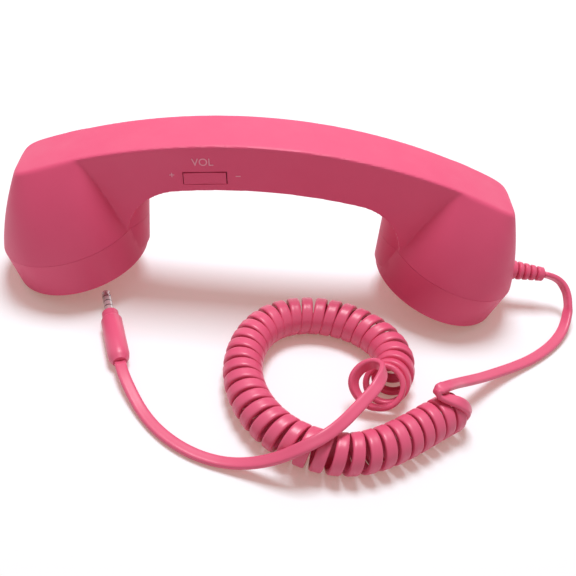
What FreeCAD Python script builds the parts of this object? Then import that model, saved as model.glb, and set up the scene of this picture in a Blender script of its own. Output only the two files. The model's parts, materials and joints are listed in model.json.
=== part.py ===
import FreeCAD, Part
import bisect
import math
import os
from FreeCAD import Placement, Rotation, Vector

# Corded retro handset with a curly flat cord and a four-pole 3.5 mm audio plug.
# Millimetres. X runs along the handset (ear cup at -X, mouth cup at +X), Z is up.
# The handset lies face down on the outer edges of its two caps. The origin is on the
# surface that it lies on, under the middle of the handle.

X_AXIS = Vector(1, 0, 0)
Y_AXIS = Vector(0, 1, 0)
Z_AXIS = Vector(0, 0, 1)

# Driving sizes of the handset
grip_height = 71.0            # top of the handle above the surface
grip_top_radius = 229.0       # long arc of the top, seen from the side
grip_width = 24.4
grip_thickness = 18.8
arch_radius = 22.0            # inside corner between handle and cup
inner_wall_x = 58.3           # axis of the upright rounded wall on a cup's inner side
inner_wall_radius = 12.0
inner_wall_foot = (9.0, 11.0) # radius and height of its lower end, inside the cap
inner_wall_full = 18.5        # it has its whole radius from this height up
inner_wall_top = 50.0         # inside the handle
wall = 2.2

# Cups: a flared block under each end of the handle, with a screwed-on looking cap
cup_tilt = 16.5               # degrees, the faces lean towards each other
cap_face_x = 72.8             # middle of a cap's face from the middle of the handset
cup_rim_radius = 28.0
cap_taper = 1.0               # a cap's face is this much smaller in radius than its rim
cap_depth = 15.8              # rim plane to cap face
cap_edge_round = 1.5
cap_face_wall = 2.2
flare_mid = (80.4, 41.0)      # x and z of the middle section's centre
flare_mid_tilt = 18.8
flare_mid_half = (21.0, 21.2) # half length and half width
flare_mid_power = 2.7         # 2 is an ellipse, more is squarer
flare_top_ends = (68.6, 94.2) # x of the block's inner and outer end at the top
flare_top_power = 6.5
flare_overrun = 2.0           # the top section lies this far above the handle's top
flare_slope_side = 0.42       # how much a side leans in per mm of height near the top
flare_slope_end = 0.25
seam_depth = 3.2              # the shells part this far below the top surface

# Fits and clearances
seam_gap = 0.10
slip = 0.15                   # between fixed neighbours
pin_play = 0.05
screw_play = 0.05

# Deck, weights, screws and bosses inside each cup
deck_height = 9.0             # above the rim plane
deck_thickness = 2.0
deck_hole_radius = 4.0
deck_hole_offset = (9.0, 9.0)
boss_offsets = (-11.0, -1.0)  # along the cup's outward direction
boss_radius = 3.2
boss_height = 40.0
screw_shank_radius = 1.4
screw_head_radius = 2.6
screw_head_height = 1.7
screw_length = 17.0
screw_hole_depth = 20.0
weight_radius = 11.0
weight_thickness = 4.0

# Speaker, microphone and dust screens
collar_height = 2.0
collar_clearance = 1.6         # between a cap's collar and the cup's wall at the rim
collar_wall = 1.5
cap_wall = 2.0
cap_foot = 1.0                # slope of a cap's wall on its inside
cup_ring_wall = 1.2
ear_seat_rise = 4.0
mouth_seat_height = 1.5
screen_thickness = 0.3
speaker_radius = 17.0
speaker_ring = 2.2
speaker_height = 6.0
speaker_back_wall = 1.0
cone_wall = 0.5
magnet_radius = 8.5
magnet_height = 4.0
gasket_thickness = 1.5
gasket_width = 3.0
mic_radius = 4.8
mic_height = 3.0
mic_boot_wall = 1.2
mic_boot_back = 1.2
mic_screen_radius = 6.0
ear_hole_rings = ((0.0, 1), (5.0, 6), (10.0, 12))
ear_hole_radius = 1.0
mouth_hole_rings = ((0.0, 1), (3.6, 6))
mouth_hole_radius = 0.8

# Volume rocker in the front side
rocker_angle = -6.4           # degrees round the centre of the handle's top arc
rocker_below_top = 13.25      # its middle below the handle's top surface
rocker_slot = (16.4, 5.4)
rocker_play = 0.35
rocker_proud = 0.4            # its ends stand out of the side by this much
rocker_body_depth = 3.3
rocker_dish = 0.35            # the middle is this much lower than the ends
rocker_flange = (18.2, 6.2, 0.9)
rocker_lug = (4.0, 4.2, 2.8)
rocker_pin_depth = 5.1        # axis behind the outer face of the side
rocker_pin_radius = 0.8
rocker_pin_length = 6.2
bracket_arm = (4.6, 0.8)      # along the face, thickness
bracket_arm_from = 2.3        # inner side of an arm from the rocker's middle
bracket_front = 4.2           # depth behind the outer face
key_board = (26.4, 6.2, 1.0)
key_board_depth = 8.0         # front of the small board behind the outer face
key_rib = (2.2, 5.6, 12.0)    # width, height and distance from the rocker's middle
volume_switch = (3.6, 3.6, 3.3)
volume_switch_offset = 6.2
volume_plunger = (0.8, 0.5)

# Answer button in the inner side of the handle
button_size = (15.0, 8.0)
button_round = 3.0
button_play = 0.25
button_proud = 0.8
button_flange = (18.0, 11.0, 1.2)
button_travel = 0.6
button_stem = (1.5, 2.4)
answer_switch = (6.0, 6.0, 2.8)
answer_plunger = (1.6, 0.65)

# Main board
board_size = (68.0, 15.0, 1.6)
board_centre = (-4.0, 1.0)
board_below_top = 8.6
board_post_x = (-33.0, 25.0)
board_post_radius = 2.6
board_screw_radius = 1.0
board_screw_head = (1.9, 1.2)
board_screw_length = 5.0
chip_size = (7.0, 7.0, 1.0)
chip_places = ((12.0, 2.0), (-16.0, 3.0))

# Flat cord, its strain relief and the plug
cord_tube_radius = 1.4        # a round tube as thick as the flat cord is on average
curl_count = 40
relief_root = (104.0, 16.9)   # x and z where it leaves the mouth cup
relief_tilt = 5.0
relief_length = 14.2
relief_root_radius = 4.1
relief_end_radius = 2.9
relief_neck_radius = 3.1
relief_rib_count = 5
relief_rib_gap = 0.9
relief_rib_depth = 0.9
relief_inner_length = 8.0
relief_flange_radius = 4.4
relief_flange = 1.6
relief_seat = 1.2             # the root sits this deep in a pocket in the cup's wall
cord_tie_radius = 2.6
cord_tie_length = 3.0
plug_direction = (-0.294, 0.956)
plug_rear = (-49.4, -58.2)
plug_axis_height = 4.1
plug_body_length = 24.0
plug_body_radius = 4.0
plug_rear_radius = 2.6
plug_shoulder = 1.2
plug_collar_radius = 3.3
plug_collar_length = 3.2
plug_shaft_radius = 1.75
plug_core_radius = 0.8
plug_core_inside = 6.0        # of the core inside the plug's body
plug_insulator_length = 0.4
plug_pole_lengths = (3.6, 2.4, 2.4)
plug_tip_length = 4.4
plug_tip_straight = 1.2
plug_tip_waist = 1.25

# Routes. The points of the two leads are corners that the tubes round off.
lead_route = (
    (124.2, 0.0, 14.9), (128.5, -3.3, 11.6), (129.5, -8.2, 8.0), (128.6, -13.2, 4.9), (126.2, -19.1, 2.7),
    (122.0, -25.3, 1.7), (116.2, -31.6, 1.5), (108.6, -38.0, 1.6), (100.4, -43.6, 2.4), (92.4, -49.2, 4.2),
    (84.6, -55.4, 7.0), (78.6, -60.2, 9.8), (73.6, -63.9, 11.9),
)
tail_route = (
    (38.7, -81.8, 17.9), (34.4, -86.7, 17.7), (29.2, -92.8, 17.8), (22.8, -98.2, 17.4), (15.4, -101.4, 14.6),
    (8.4, -101.9, 9.6), (0.6, -100.9, 4.9), (-8.0, -99.4, 2.1), (-17.0, -96.9, 1.5), (-25.4, -92.5, 1.5),
    (-32.8, -86.3, 1.5), (-38.6, -79.2, 1.7), (-43.2, -71.8, 2.8),
)

# Points that the coiled piece passes through before its even curls (the fold on top of the
# first curls, then the first curl) and after them (the last wide loop and the way out of it)
fold_points = (
    (67.8, -68.0, 14.9), (64.5, -70.6, 16.6), (62.7, -73.2, 17.7), (64.9, -75.6, 18.3), (69.3, -75.7, 17.7),
    (73.7, -75.8, 13.8), (75.0, -75.8, 8.2), (73.6, -73.2, 2.4), (69.8, -69.1, 2.8),
)
last_loop_points = (
    (39.6, -71.0, 5.0), (35.6, -68.8, 8.0), (34.8, -65.7, 11.8), (37.2, -62.5, 15.2), (41.1, -62.5, 17.8),
    (43.9, -65.9, 19.2), (44.8, -70.7, 19.4), (43.6, -75.4, 19.0), (41.1, -79.1, 18.4),
)

# Axis of the even curls: x, y, height, radius of the curls, degrees their plane is turned and
# leant back, and how close the curls sit. The first and the last row only steer the line.
coil_axis = (
    (73.0, -72.0, 7.7, 6.2, 0, 0, 1.0),
    (68.6, -75.4, 7.7, 6.2, 0, 0, 1.0),
    (64.6, -78.2, 7.7, 6.2, 0, 0, 1.0),
    (60.6, -81.2, 7.7, 6.2, 0, 0, 1.0),
    (56.2, -84.6, 7.7, 6.2, 0, 0, 1.0),
    (50.4, -88.9, 7.7, 6.2, 0, 0, 1.0),
    (42.8, -93.5, 7.7, 6.2, 0, 0, 1.0),
    (33.6, -97.1, 7.7, 6.2, 0, 0, 1.0),
    (22.2, -96.7, 7.7, 6.2, 0, 0, 1.0),
    (9.6, -90.8, 7.7, 6.2, 0, 0, 1.0),
    (0.2, -80.0, 7.7, 6.2, 0, 0, 1.0),
    (-4.8, -66.6, 7.7, 6.2, 0, 0, 1.0),
    (-4.9, -53.2, 7.7, 6.2, 0, 0, 1.0),
    (-0.4, -40.1, 7.7, 6.2, 0, 0, 1.0),
    (8.0, -31.6, 7.7, 6.2, 0, 0, 1.0),
    (19.8, -28.1, 7.7, 6.2, 0, 0, 1.0),
    (31.8, -29.4, 7.7, 6.2, 0, 0, 1.0),
    (42.0, -34.4, 7.7, 6.2, 0, 0, 0.97),
    (49.2, -42.0, 7.7, 6.2, 0, 0, 0.90),
    (52.0, -50.4, 7.7, 6.2, -4, 5, 0.88),
    (51.0, -57.4, 7.6, 6.4, 0, 17, 0.90),
    (48.4, -62.2, 7.5, 6.9, 12, 31, 1.0),
    (45.7, -65.4, 8.2, 7.5, 24, 40, 1.0),
    (43.4, -67.4, 11.0, 8.0, 30, 41, 1.0),
    (41.6, -70.2, 13.5, 8.0, 30, 41, 1.0),
)
# Wires inside the handset, on from the cord's tie, the microphone's boot and the magnet.
# A height below zero is measured from the top of the handle.
wire_radius = 0.7
wire_lead_in = 4.0
cord_wire_route = (
    (86.8, 3.6, 20.8), (87.2, 8.4, 25.2), (90.0, 10.3, 31.4), (88.6, 9.8, 39.5), (82.0, 8.6, -23.8),
    (72.0, 7.6, -18.2), (58.0, 6.6, -14.0), (45.0, 5.9, -10.0), (36.5, 5.6, -7.8),
)
mic_wire_start = ((2.5, 1.5, -9.1), (2.5, 1.5, -5.0), (6.4, 5.4, 0.5), (8.0, 7.4, 7.0), (8.0, 7.4, 14.0))
mic_wire_route = (
    (85.6, 6.0, 42.4), (78.4, 5.0, -22.4), (68.0, 4.6, -18.0), (56.0, 3.8, -13.8), (44.0, 3.0, -9.8),
    (36.5, 2.6, -7.8),
)
speaker_wire_start = ((4.5, 3.0, -1.8), (4.5, 3.0, 1.4), (8.6, 7.6, 4.6), (9.0, 9.0, 9.6), (9.0, 9.0, 16.0))
speaker_wire_route = (
    (-86.6, 7.8, 43.0), (-78.6, 6.6, -21.4), (-67.0, 5.8, -16.8), (-56.0, 4.6, -12.6), (-44.5, 3.0, -7.8),
)

first_curl = -0.25            # where the even curls start and stop, in turns
last_curl = 39.5
plug_lead_in = 5.0

# Worked-out places
cap_face_radius = cup_rim_radius - cap_taper
collar_radius = cup_rim_radius - wall - collar_clearance
board_bottom = grip_height - board_below_top
top_centre_z = grip_height - grip_top_radius
under_radius = grip_top_radius - grip_thickness
half_width = grip_width / 2
tilt_sin = math.sin(math.radians(cup_tilt))
tilt_cos = math.cos(math.radians(cup_tilt))
cap_face_z = cap_face_radius * tilt_sin - cap_edge_round * (tilt_sin + tilt_cos - 1)
rim_x = cap_face_x + cap_depth * tilt_sin
rim_z = cap_face_z + cap_depth * tilt_cos


def top_z(x, radius=grip_top_radius):
    """Height of an arc about the centre of the handle's top arc."""
    return top_centre_z + math.sqrt(radius ** 2 - x ** 2)


def cup_place(side):
    """Frame of a cup: origin in the middle of its rim plane, local z up its axis."""
    return Placement(Vector(side * rim_x, 0, rim_z), Rotation(Y_AXIS, side * cup_tilt))


def placed(shape, place):
    result = shape.copy()
    result.Placement = place.multiply(result.Placement)
    return result


def cylinder(radius, low, high, x=0.0, y=0.0):
    return Part.makeCylinder(radius, high - low, Vector(x, y, low))


def ring(inner, outer, low, high):
    return cylinder(outer, low, high).cut(cylinder(inner, low - 1, high + 1))


def centred_box(length, width, low, high, x=0.0, y=0.0):
    return Part.makeBox(length, width, high - low, Vector(x - length / 2, y - width / 2, low))


def mirrored(shape):
    return shape.mirror(Vector(0, 0, 0), X_AXIS)


def revolved(points):
    """Solid of revolution about z from (radius, height) points."""
    corners = [Vector(r, 0, z) for r, z in points]
    face = Part.Face(Part.makePolygon(corners + corners[:1]))
    return face.revolve(Vector(0, 0, 0), Z_AXIS, 360)


def fused(shapes):
    result = shapes[0]
    for shape in shapes[1:]:
        result = result.fuse(shape)
    return result.removeSplitter()


def group(shapes):
    return Part.Compound([solid for shape in shapes for solid in shape.Solids])


def largest(shape):
    return max(shape.Solids, key=lambda solid: solid.Volume)


# Outer form of the two shells

def arch_centre():
    """Centre of the arch's arc: tangent to the underside, through the rim plane at the side face."""
    foot_reach = math.sqrt(cup_rim_radius ** 2 - half_width ** 2)
    foot = Vector(rim_x - foot_reach * tilt_cos, 0, rim_z + foot_reach * tilt_sin)
    centre = Vector(0, 0, top_centre_z)
    reach = under_radius - arch_radius
    span = foot - centre
    along = (reach ** 2 - arch_radius ** 2 + span.Length ** 2) / (2 * span.Length)
    across = math.sqrt(reach ** 2 - along ** 2)
    unit = span / span.Length
    return centre + unit * along + Vector(-unit.z, 0, unit.x) * across


def across_middle(point):
    return Vector(-point.x, 0, point.z)


def handle_solid(inset):
    """The handle with its arch, drawn from the side and extruded across; inset gives its hollow."""
    centre = Vector(0, 0, top_centre_z)
    corner = arch_centre()
    direction = (corner - centre).normalize()
    radius = arch_radius + inset
    tangent = corner + direction * radius
    rim = Vector(rim_x, 0, rim_z)
    outward = Vector(tilt_cos, 0, -tilt_sin)
    offset = (rim - corner).dot(outward)
    height = (rim - corner - outward * offset).Length
    foot = rim + outward * (-offset + math.sqrt(radius ** 2 - height ** 2))
    bisector = ((tangent - corner) + (foot - corner)).normalize()
    middle = corner + bisector * radius
    under_top = Vector(0, 0, top_centre_z + under_radius + inset)
    inner_end = rim + outward * (-boss_radius)
    shoulder_x = (flare_top_ends[0] + flare_top_ends[1]) / 2
    above = grip_height + flare_overrun
    right = [Part.LineSegment(foot, inner_end), Part.LineSegment(inner_end, Vector(shoulder_x, 0, above))]
    edges = [Part.Arc(across_middle(tangent), under_top, tangent), Part.Arc(tangent, middle, foot)]
    edges += right
    edges.append(Part.LineSegment(Vector(shoulder_x, 0, above), Vector(-shoulder_x, 0, above)))
    edges.append(Part.LineSegment(Vector(-shoulder_x, 0, above), across_middle(inner_end)))
    edges.append(Part.LineSegment(across_middle(inner_end), across_middle(foot)))
    edges.append(Part.Arc(across_middle(foot), across_middle(middle), across_middle(tangent)))
    face = Part.Face(Part.Wire([edge.toShape() for edge in edges]))
    face.translate(Vector(0, -half_width + inset, 0))
    return face.extrude(Vector(0, grip_width - 2 * inset, 0))


def flare_section(centre_x, centre_z, tilt, half_length, half_span, power, count=32):
    """Closed smooth outline, a superellipse in a plane that leans with the cup."""
    lean = math.radians(tilt)
    points = []
    for index in range(count):
        angle = 2 * math.pi * index / count
        across = abs(math.cos(angle) / half_length) ** power + abs(math.sin(angle) / half_span) ** power
        reach = across ** (-1 / power)
        u = reach * math.cos(angle)
        v = reach * math.sin(angle)
        points.append(Vector(centre_x + u * math.cos(lean), v, centre_z - u * math.sin(lean)))
    curve = Part.BSplineCurve()
    curve.interpolate(points, PeriodicFlag=True)
    return Part.Wire([curve.toShape()])


def flare_solid(inset):
    """Flared block of the mouth cup, from the round rim up to the handle's top."""
    inner_x, outer_x = flare_top_ends
    chord = Vector(outer_x - inner_x, 0, top_z(outer_x) - top_z(inner_x))
    tilt = math.degrees(math.atan2(-chord.z, chord.x))
    lift = Vector(-chord.z, 0, chord.x).normalize() * flare_overrun
    middle = Vector((inner_x + outer_x) / 2, 0, (top_z(inner_x) + top_z(outer_x)) / 2) + lift
    sections = [
        flare_section(rim_x, rim_z, cup_tilt, cup_rim_radius - inset, cup_rim_radius - inset, 2.0),
        flare_section(flare_mid[0], flare_mid[1], flare_mid_tilt,
                      flare_mid_half[0] - inset, flare_mid_half[1] - inset, flare_mid_power),
        flare_section(middle.x, middle.z, tilt,
                      chord.Length / 2 - flare_overrun * flare_slope_end - inset,
                      half_width - flare_overrun * flare_slope_side - inset, flare_top_power),
    ]
    return Part.makeLoft(sections, True, False)


def under_arc(radius):
    """Everything below an arc about the centre of the handle's top arc."""
    disc = Part.makeCylinder(radius, 4 * half_width + 2 * cup_rim_radius,
                             Vector(0, -2 * half_width - cup_rim_radius, top_centre_z), Y_AXIS)
    return disc


def inner_wall(side, inset):
    """Upright rounded wall on the inner side of a cup, from its cap up into the arch."""
    radius = inner_wall_radius - inset
    foot_radius, foot_z = inner_wall_foot
    column = revolved([(0, foot_z), (foot_radius - inset, foot_z), (radius, inner_wall_full),
                       (radius, inner_wall_top), (0, inner_wall_top)])
    column.translate(Vector(side * inner_wall_x, 0, 0))
    return column


def handset_form(inset):
    flare = flare_solid(inset)
    above_rim = placed(cylinder(2 * cup_rim_radius, 0, inner_wall_top), cup_place(1))
    inner = inner_wall(1, inset).common(above_rim)
    body = handle_solid(inset).fuse(inner).fuse(mirrored(inner)).fuse(flare).fuse(mirrored(flare))
    return body.common(under_arc(grip_top_radius - inset)).Solids[0]


outer_form = handset_form(0.0)
hollow = handset_form(wall)


def relief_place():
    """Frame of the strain relief: origin at its root, local z out of the cup."""
    return Placement(Vector(relief_root[0], 0, relief_root[1]), Rotation(Y_AXIS, 90 + relief_tilt))


def screw_positions():
    return [(offset, 0.0) for offset in boss_offsets]


def cup_deck(side):
    """Web across the inside of a cup that the weight and the shell screws clamp to."""
    low = deck_height
    high = deck_height + deck_thickness
    slab = centred_box(3 * cup_rim_radius, 3 * cup_rim_radius, low, high)
    holes = [cylinder(deck_hole_radius, low - 1, high + 1, side * deck_hole_offset[0], deck_hole_offset[1])]
    for u, v in screw_positions():
        holes.append(cylinder(screw_shank_radius + slip, low - 1, high + 1, side * u, v))
    return placed(slab.cut(group(holes)), cup_place(side))


def cup_bosses(side):
    """Screw bosses under the top cover, down to the deck."""
    low = deck_height + deck_thickness
    posts = []
    bores = []
    for u, v in screw_positions():
        posts.append(cylinder(boss_radius, low, boss_height, side * u, v))
        bores.append(cylinder(screw_shank_radius + screw_play, low - 1, low + screw_hole_depth, side * u, v))
    return placed(group(posts), cup_place(side)), placed(group(bores), cup_place(side))


# Frames of the rocker: local x along the handle, local y into the side, local z across the face

def rocker_place():
    reach = grip_top_radius - rocker_below_top
    angle = math.radians(rocker_angle)
    centre = Vector(reach * math.sin(angle), -half_width, top_centre_z + reach * math.cos(angle))
    return Placement(centre, Rotation(Y_AXIS, rocker_angle))


def face_box(length, height, front, back, x=0.0, z=0.0):
    return Part.makeBox(length, back - front, height, Vector(x - length / 2, front, z - height / 2))


def rounded_slab(length, width, radius, low, high):
    slab = centred_box(length, width, low, high)
    upright = [edge for edge in slab.Edges if abs(edge.tangentAt(edge.FirstParameter).z) > 0.5]
    return slab.makeFillet(radius, upright)


def make_shells():
    slot = placed(face_box(rocker_slot[0], rocker_slot[1], -1.0, wall + 1.0), rocker_place())
    under = top_centre_z + under_radius
    opening = rounded_slab(button_size[0] + 2 * button_play, button_size[1] + 2 * button_play,
                           button_round + button_play, under - 1, under + wall + 1)
    neck = placed(cylinder(relief_neck_radius + slip, -relief_inner_length, relief_length), relief_place())
    pocket = placed(cylinder(relief_root_radius + slip, -relief_seat, relief_length), relief_place())
    room = hollow.cut(cup_deck(1)).cut(cup_deck(-1))
    lower = outer_form.common(under_arc(grip_top_radius - seam_depth))
    for tool in (room, slot, opening, neck, pocket):
        lower = lower.cut(tool)
    for sign in (1, -1):
        rib = face_box(key_rib[0], key_rib[1], wall / 2, key_board_depth, sign * key_rib[2])
        lower = lower.fuse(placed(rib, rocker_place()))
    upper = outer_form.cut(under_arc(grip_top_radius - seam_depth + seam_gap)).cut(hollow)
    ceiling = under_arc(grip_top_radius - wall / 2)
    posts = []
    bores = []
    for side in (1, -1):
        side_posts, side_bores = cup_bosses(side)
        posts += side_posts.common(ceiling).Solids
        bores += side_bores.Solids
    for x in board_post_x:
        post = cylinder(board_post_radius, board_bottom + board_size[2], grip_height, x, board_centre[1])
        posts += post.common(ceiling).Solids
        bores.append(cylinder(board_screw_radius + screw_play, board_bottom,
                              board_bottom + board_screw_length, x, board_centre[1]))
    for post in posts:
        upper = upper.fuse(post)
    for bore in bores:
        upper = upper.cut(bore)
    return lower, upper


def make_cap(side, hole_rings, hole_radius, seat_radius, seat_height):
    """Round cap with its locating collar, face holes and the ring that seats what it holds."""
    face = -cap_depth
    inside = face + cap_face_wall
    body = revolved([
        (0, face), (cap_face_radius, face), (cup_rim_radius, -seam_gap),
        (collar_radius, -seam_gap), (collar_radius, collar_height),
        (collar_radius - collar_wall, collar_height),
        (cap_face_radius - cap_wall - cap_foot, inside), (0, inside),
    ])
    body = body.makeFillet(cap_edge_round, [edge for edge in body.Edges if edge.BoundBox.ZMax < face + 0.01])
    inner = placed(inner_wall(side, 0.0), cup_place(side).inverse())
    inner = inner.common(cylinder(2 * cup_rim_radius, face + cap_edge_round, -seam_gap))
    inner = inner.cut(cylinder(cap_face_radius - cap_wall, face, 0))
    seat = ring(seat_radius + slip, seat_radius + slip + cup_ring_wall, inside - 0.5, inside + seat_height)
    body = fused([body, inner, seat])
    holes = []
    for ring_radius, number in hole_rings:
        count = round(number)
        for index in range(count):
            angle = 2 * math.pi * index / count
            holes.append(cylinder(hole_radius, face - 1, inside + 1,
                                  ring_radius * math.cos(angle), ring_radius * math.sin(angle)))
    return body.cut(group(holes))


def make_speaker():
    """Dust screen, gasket, frame, cone and magnet, stacked on the ear cap's inner face."""
    inside = -cap_depth + cap_face_wall
    screen = cylinder(speaker_radius - slip, inside, inside + screen_thickness)
    gasket_low = inside + screen_thickness
    frame_low = gasket_low + gasket_thickness
    frame_high = frame_low + speaker_height
    gasket = ring(speaker_radius - gasket_width, speaker_radius - slip, gasket_low, frame_low)
    bowl_low = speaker_radius - speaker_ring
    bowl_high = magnet_radius + speaker_back_wall
    frame = revolved([
        (bowl_low, frame_low), (speaker_radius - slip, frame_low), (speaker_radius - slip, frame_low + 1.5),
        (bowl_high + 1.0, frame_high), (magnet_radius - 3.0, frame_high),
        (magnet_radius - 3.0, frame_high - speaker_back_wall), (bowl_high, frame_high - speaker_back_wall),
        (bowl_low, frame_low + 1.5),
    ])
    cone_top = frame_high - speaker_back_wall - 1.2
    cone_low = frame_low + 0.4
    cone_middle = magnet_radius - 4.0
    cone = revolved([
        (0, cone_top - cone_wall), (cone_middle, cone_top - cone_wall), (bowl_low - slip, cone_low),
        (bowl_low - slip, cone_low + cone_wall), (cone_middle, cone_top), (0, cone_top),
    ])
    magnet = cylinder(magnet_radius, frame_high, frame_high + magnet_height)
    return screen, gasket, frame, cone, magnet


def make_microphone():
    inside = -cap_depth + cap_face_wall
    screen = cylinder(mic_screen_radius - slip, inside, inside + screen_thickness)
    boot_low = inside + screen_thickness
    outer = mic_radius + mic_boot_wall
    boot_high = boot_low + mic_height + mic_boot_back
    boot = cylinder(outer, boot_low, boot_high)
    boot = boot.cut(cylinder(mic_radius + screw_play, boot_low - 1, boot_low + mic_height))
    capsule = cylinder(mic_radius, boot_low, boot_low + mic_height - screw_play)
    return screen, boot, capsule


def make_weight(side):
    high = deck_height
    low = high - weight_thickness
    middle = sum(boss_offsets) / 2
    disc = cylinder(weight_radius, low, high, side * middle, 0)
    bore = screw_shank_radius + slip
    holes = [cylinder(bore, low - 1, high + 1, side * u, v) for u, v in screw_positions()]
    return placed(disc.cut(group(holes)), cup_place(side))


def make_shell_screws():
    head_high = deck_height - weight_thickness
    screws = []
    for side in (1, -1):
        for u, v in screw_positions():
            head = cylinder(screw_head_radius, head_high - screw_head_height, head_high, side * u, v)
            shank = cylinder(screw_shank_radius, head_high - 0.1, head_high + screw_length, side * u, v)
            screws.append(placed(fused([head, shank]), cup_place(side)))
    return group(screws)


def make_rocker():
    """Rocker, its pin, bracket, small board and two switches, in the rocker's frame."""
    front = -rocker_proud
    back = front + rocker_body_depth
    length = rocker_slot[0] - 2 * rocker_play
    height = rocker_slot[1] - 2 * rocker_play
    outline = [
        Vector(-length / 2, front, 0), Vector(0, front + rocker_dish, 0), Vector(length / 2, front, 0),
        Vector(length / 2, back, 0), Vector(-length / 2, back, 0),
    ]
    pad = Part.Face(Part.makePolygon(outline + outline[:1])).extrude(Vector(0, 0, height))
    pad.translate(Vector(0, 0, -height / 2))
    flange_back = back + rocker_flange[2]
    flange = face_box(rocker_flange[0], rocker_flange[1], back, flange_back)
    lug = face_box(rocker_lug[0], rocker_lug[1], flange_back, flange_back + rocker_lug[2])
    bore = Part.makeCylinder(rocker_pin_radius + pin_play, 2 * rocker_pin_length,
                             Vector(0, rocker_pin_depth, -rocker_pin_length), Z_AXIS)
    rocker = fused([pad, flange, lug]).cut(bore)
    pin = Part.makeCylinder(rocker_pin_radius, rocker_pin_length,
                            Vector(0, rocker_pin_depth, -rocker_pin_length / 2), Z_AXIS)
    arm_width, arm_thickness = bracket_arm
    arm_middle = bracket_arm_from + arm_thickness / 2
    arm_front = bracket_front
    base_front = key_board_depth - 0.8
    arms = [face_box(arm_width, arm_thickness, arm_front, key_board_depth, 0, sign * arm_middle)
            for sign in (1, -1)]
    base = face_box(arm_width, 2 * arm_middle, base_front, key_board_depth)
    snug = Part.makeCylinder(rocker_pin_radius + 0.02, 2 * rocker_pin_length,
                             Vector(0, rocker_pin_depth, -rocker_pin_length), Z_AXIS)
    bracket = fused(arms + [base]).cut(snug)
    board = face_box(key_board[0], key_board[1], key_board_depth, key_board_depth + key_board[2])
    switches = []
    for sign in (1, -1):
        x = sign * volume_switch_offset
        case_front = key_board_depth - volume_switch[2]
        case = face_box(volume_switch[0], volume_switch[1], case_front, key_board_depth, x)
        plunger = Part.makeCylinder(volume_plunger[0], volume_plunger[1] + 0.2,
                                    Vector(x, case_front - volume_plunger[1], 0), Y_AXIS)
        switches.append(fused([case, plunger]))
    place = rocker_place()
    return [placed(shape, place) for shape in (rocker, pin, bracket, board, group(switches))]


def make_answer_button():
    under = top_centre_z + under_radius
    low = under - button_proud
    flange_low = under + wall + slip
    flange_high = flange_low + button_flange[2]
    cap = rounded_slab(button_size[0], button_size[1], button_round, low, flange_low + 0.2)
    flange = rounded_slab(button_flange[0], button_flange[1], button_round, flange_low, flange_high)
    stem = cylinder(button_stem[0], flange_high - 0.2, flange_high + button_stem[1])
    button = fused([cap, flange, stem])
    rim = [edge for edge in button.Edges if edge.BoundBox.ZMax < low + 0.01]
    return button.makeFillet(0.6, rim)


def make_boards():
    low = board_bottom
    high = low + board_size[2]
    board = centred_box(board_size[0], board_size[1], low, high, board_centre[0], board_centre[1])
    bore = board_screw_radius + slip
    holes = [cylinder(bore, low - 1, high + 1, x, board_centre[1]) for x in board_post_x]
    board = board.cut(group(holes))
    case_low = low - answer_switch[2]
    case = centred_box(answer_switch[0], answer_switch[1], case_low, low)
    plunger = cylinder(answer_plunger[0], case_low - answer_plunger[1], case_low + 0.2)
    switch = fused([case, plunger])
    chips = group([centred_box(chip_size[0], chip_size[1], high, high + chip_size[2], x, y)
                   for x, y in chip_places])
    screws = []
    for x in board_post_x:
        head = cylinder(board_screw_head[0], low - board_screw_head[1], low, x, board_centre[1])
        shank = cylinder(board_screw_radius, low - 0.1, low + board_screw_length - 0.5, x, board_centre[1])
        screws.append(fused([head, shank]))
    return board, switch, chips, group(screws)


def make_relief():
    """Ribbed sleeve outside the cup, and the neck with its flange inside."""
    step = relief_length / relief_rib_count
    low = -relief_inner_length
    points = [(0, low), (relief_flange_radius, low), (relief_flange_radius, low + relief_flange),
              (relief_neck_radius, low + relief_flange), (relief_neck_radius, -relief_seat),
              (relief_root_radius, -relief_seat)]
    for index in range(relief_rib_count):
        near = index / relief_rib_count
        far = (index + 1) / relief_rib_count
        crest_near = relief_root_radius + (relief_end_radius - relief_root_radius) * near
        crest_far = relief_root_radius + (relief_end_radius - relief_root_radius) * far
        groove_start = (index + 1) * step - relief_rib_gap
        if index < relief_rib_count - 1:
            points += [(crest_near, index * step), (crest_far, groove_start)]
            points += [(crest_far - relief_rib_depth, groove_start),
                       (crest_far - relief_rib_depth, (index + 1) * step)]
        else:
            points += [(crest_near, index * step), (crest_far, relief_length - 0.4),
                       (crest_far - 0.4, relief_length)]
    points.append((0, relief_length))
    return placed(revolved(points), relief_place())


def rounded_path(points, label):
    """Straight runs joined by tangent arcs, each as large as its two runs allow."""
    corners = [Vector(*p) for p in points]
    edges = []
    start = corners[0]
    radii = []
    for before, corner, after in zip(corners, corners[1:], corners[2:]):
        into = (corner - before).normalize()
        out = (after - corner).normalize()
        turn = into.getAngle(out)
        shorter = min((corner - before).Length, (after - corner).Length)
        reach = 0.45 * shorter
        radii.append(reach / math.tan(turn / 2))
        arc_start = corner - into * reach
        arc_end = corner + out * reach
        centre = corner + (out - into).normalize() * (reach / math.sin(turn / 2))
        middle = centre + (corner - centre).normalize() * radii[-1]
        edges.append(Part.LineSegment(start, arc_start).toShape())
        edges.append(Part.Arc(arc_start, middle, arc_end).toShape())
        start = arc_end
    edges.append(Part.LineSegment(start, corners[-1]).toShape())
    print(label, "smallest radius", round(min(radii), 1), "of", [round(r, 1) for r in radii])
    return Part.Wire(edges)


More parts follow.
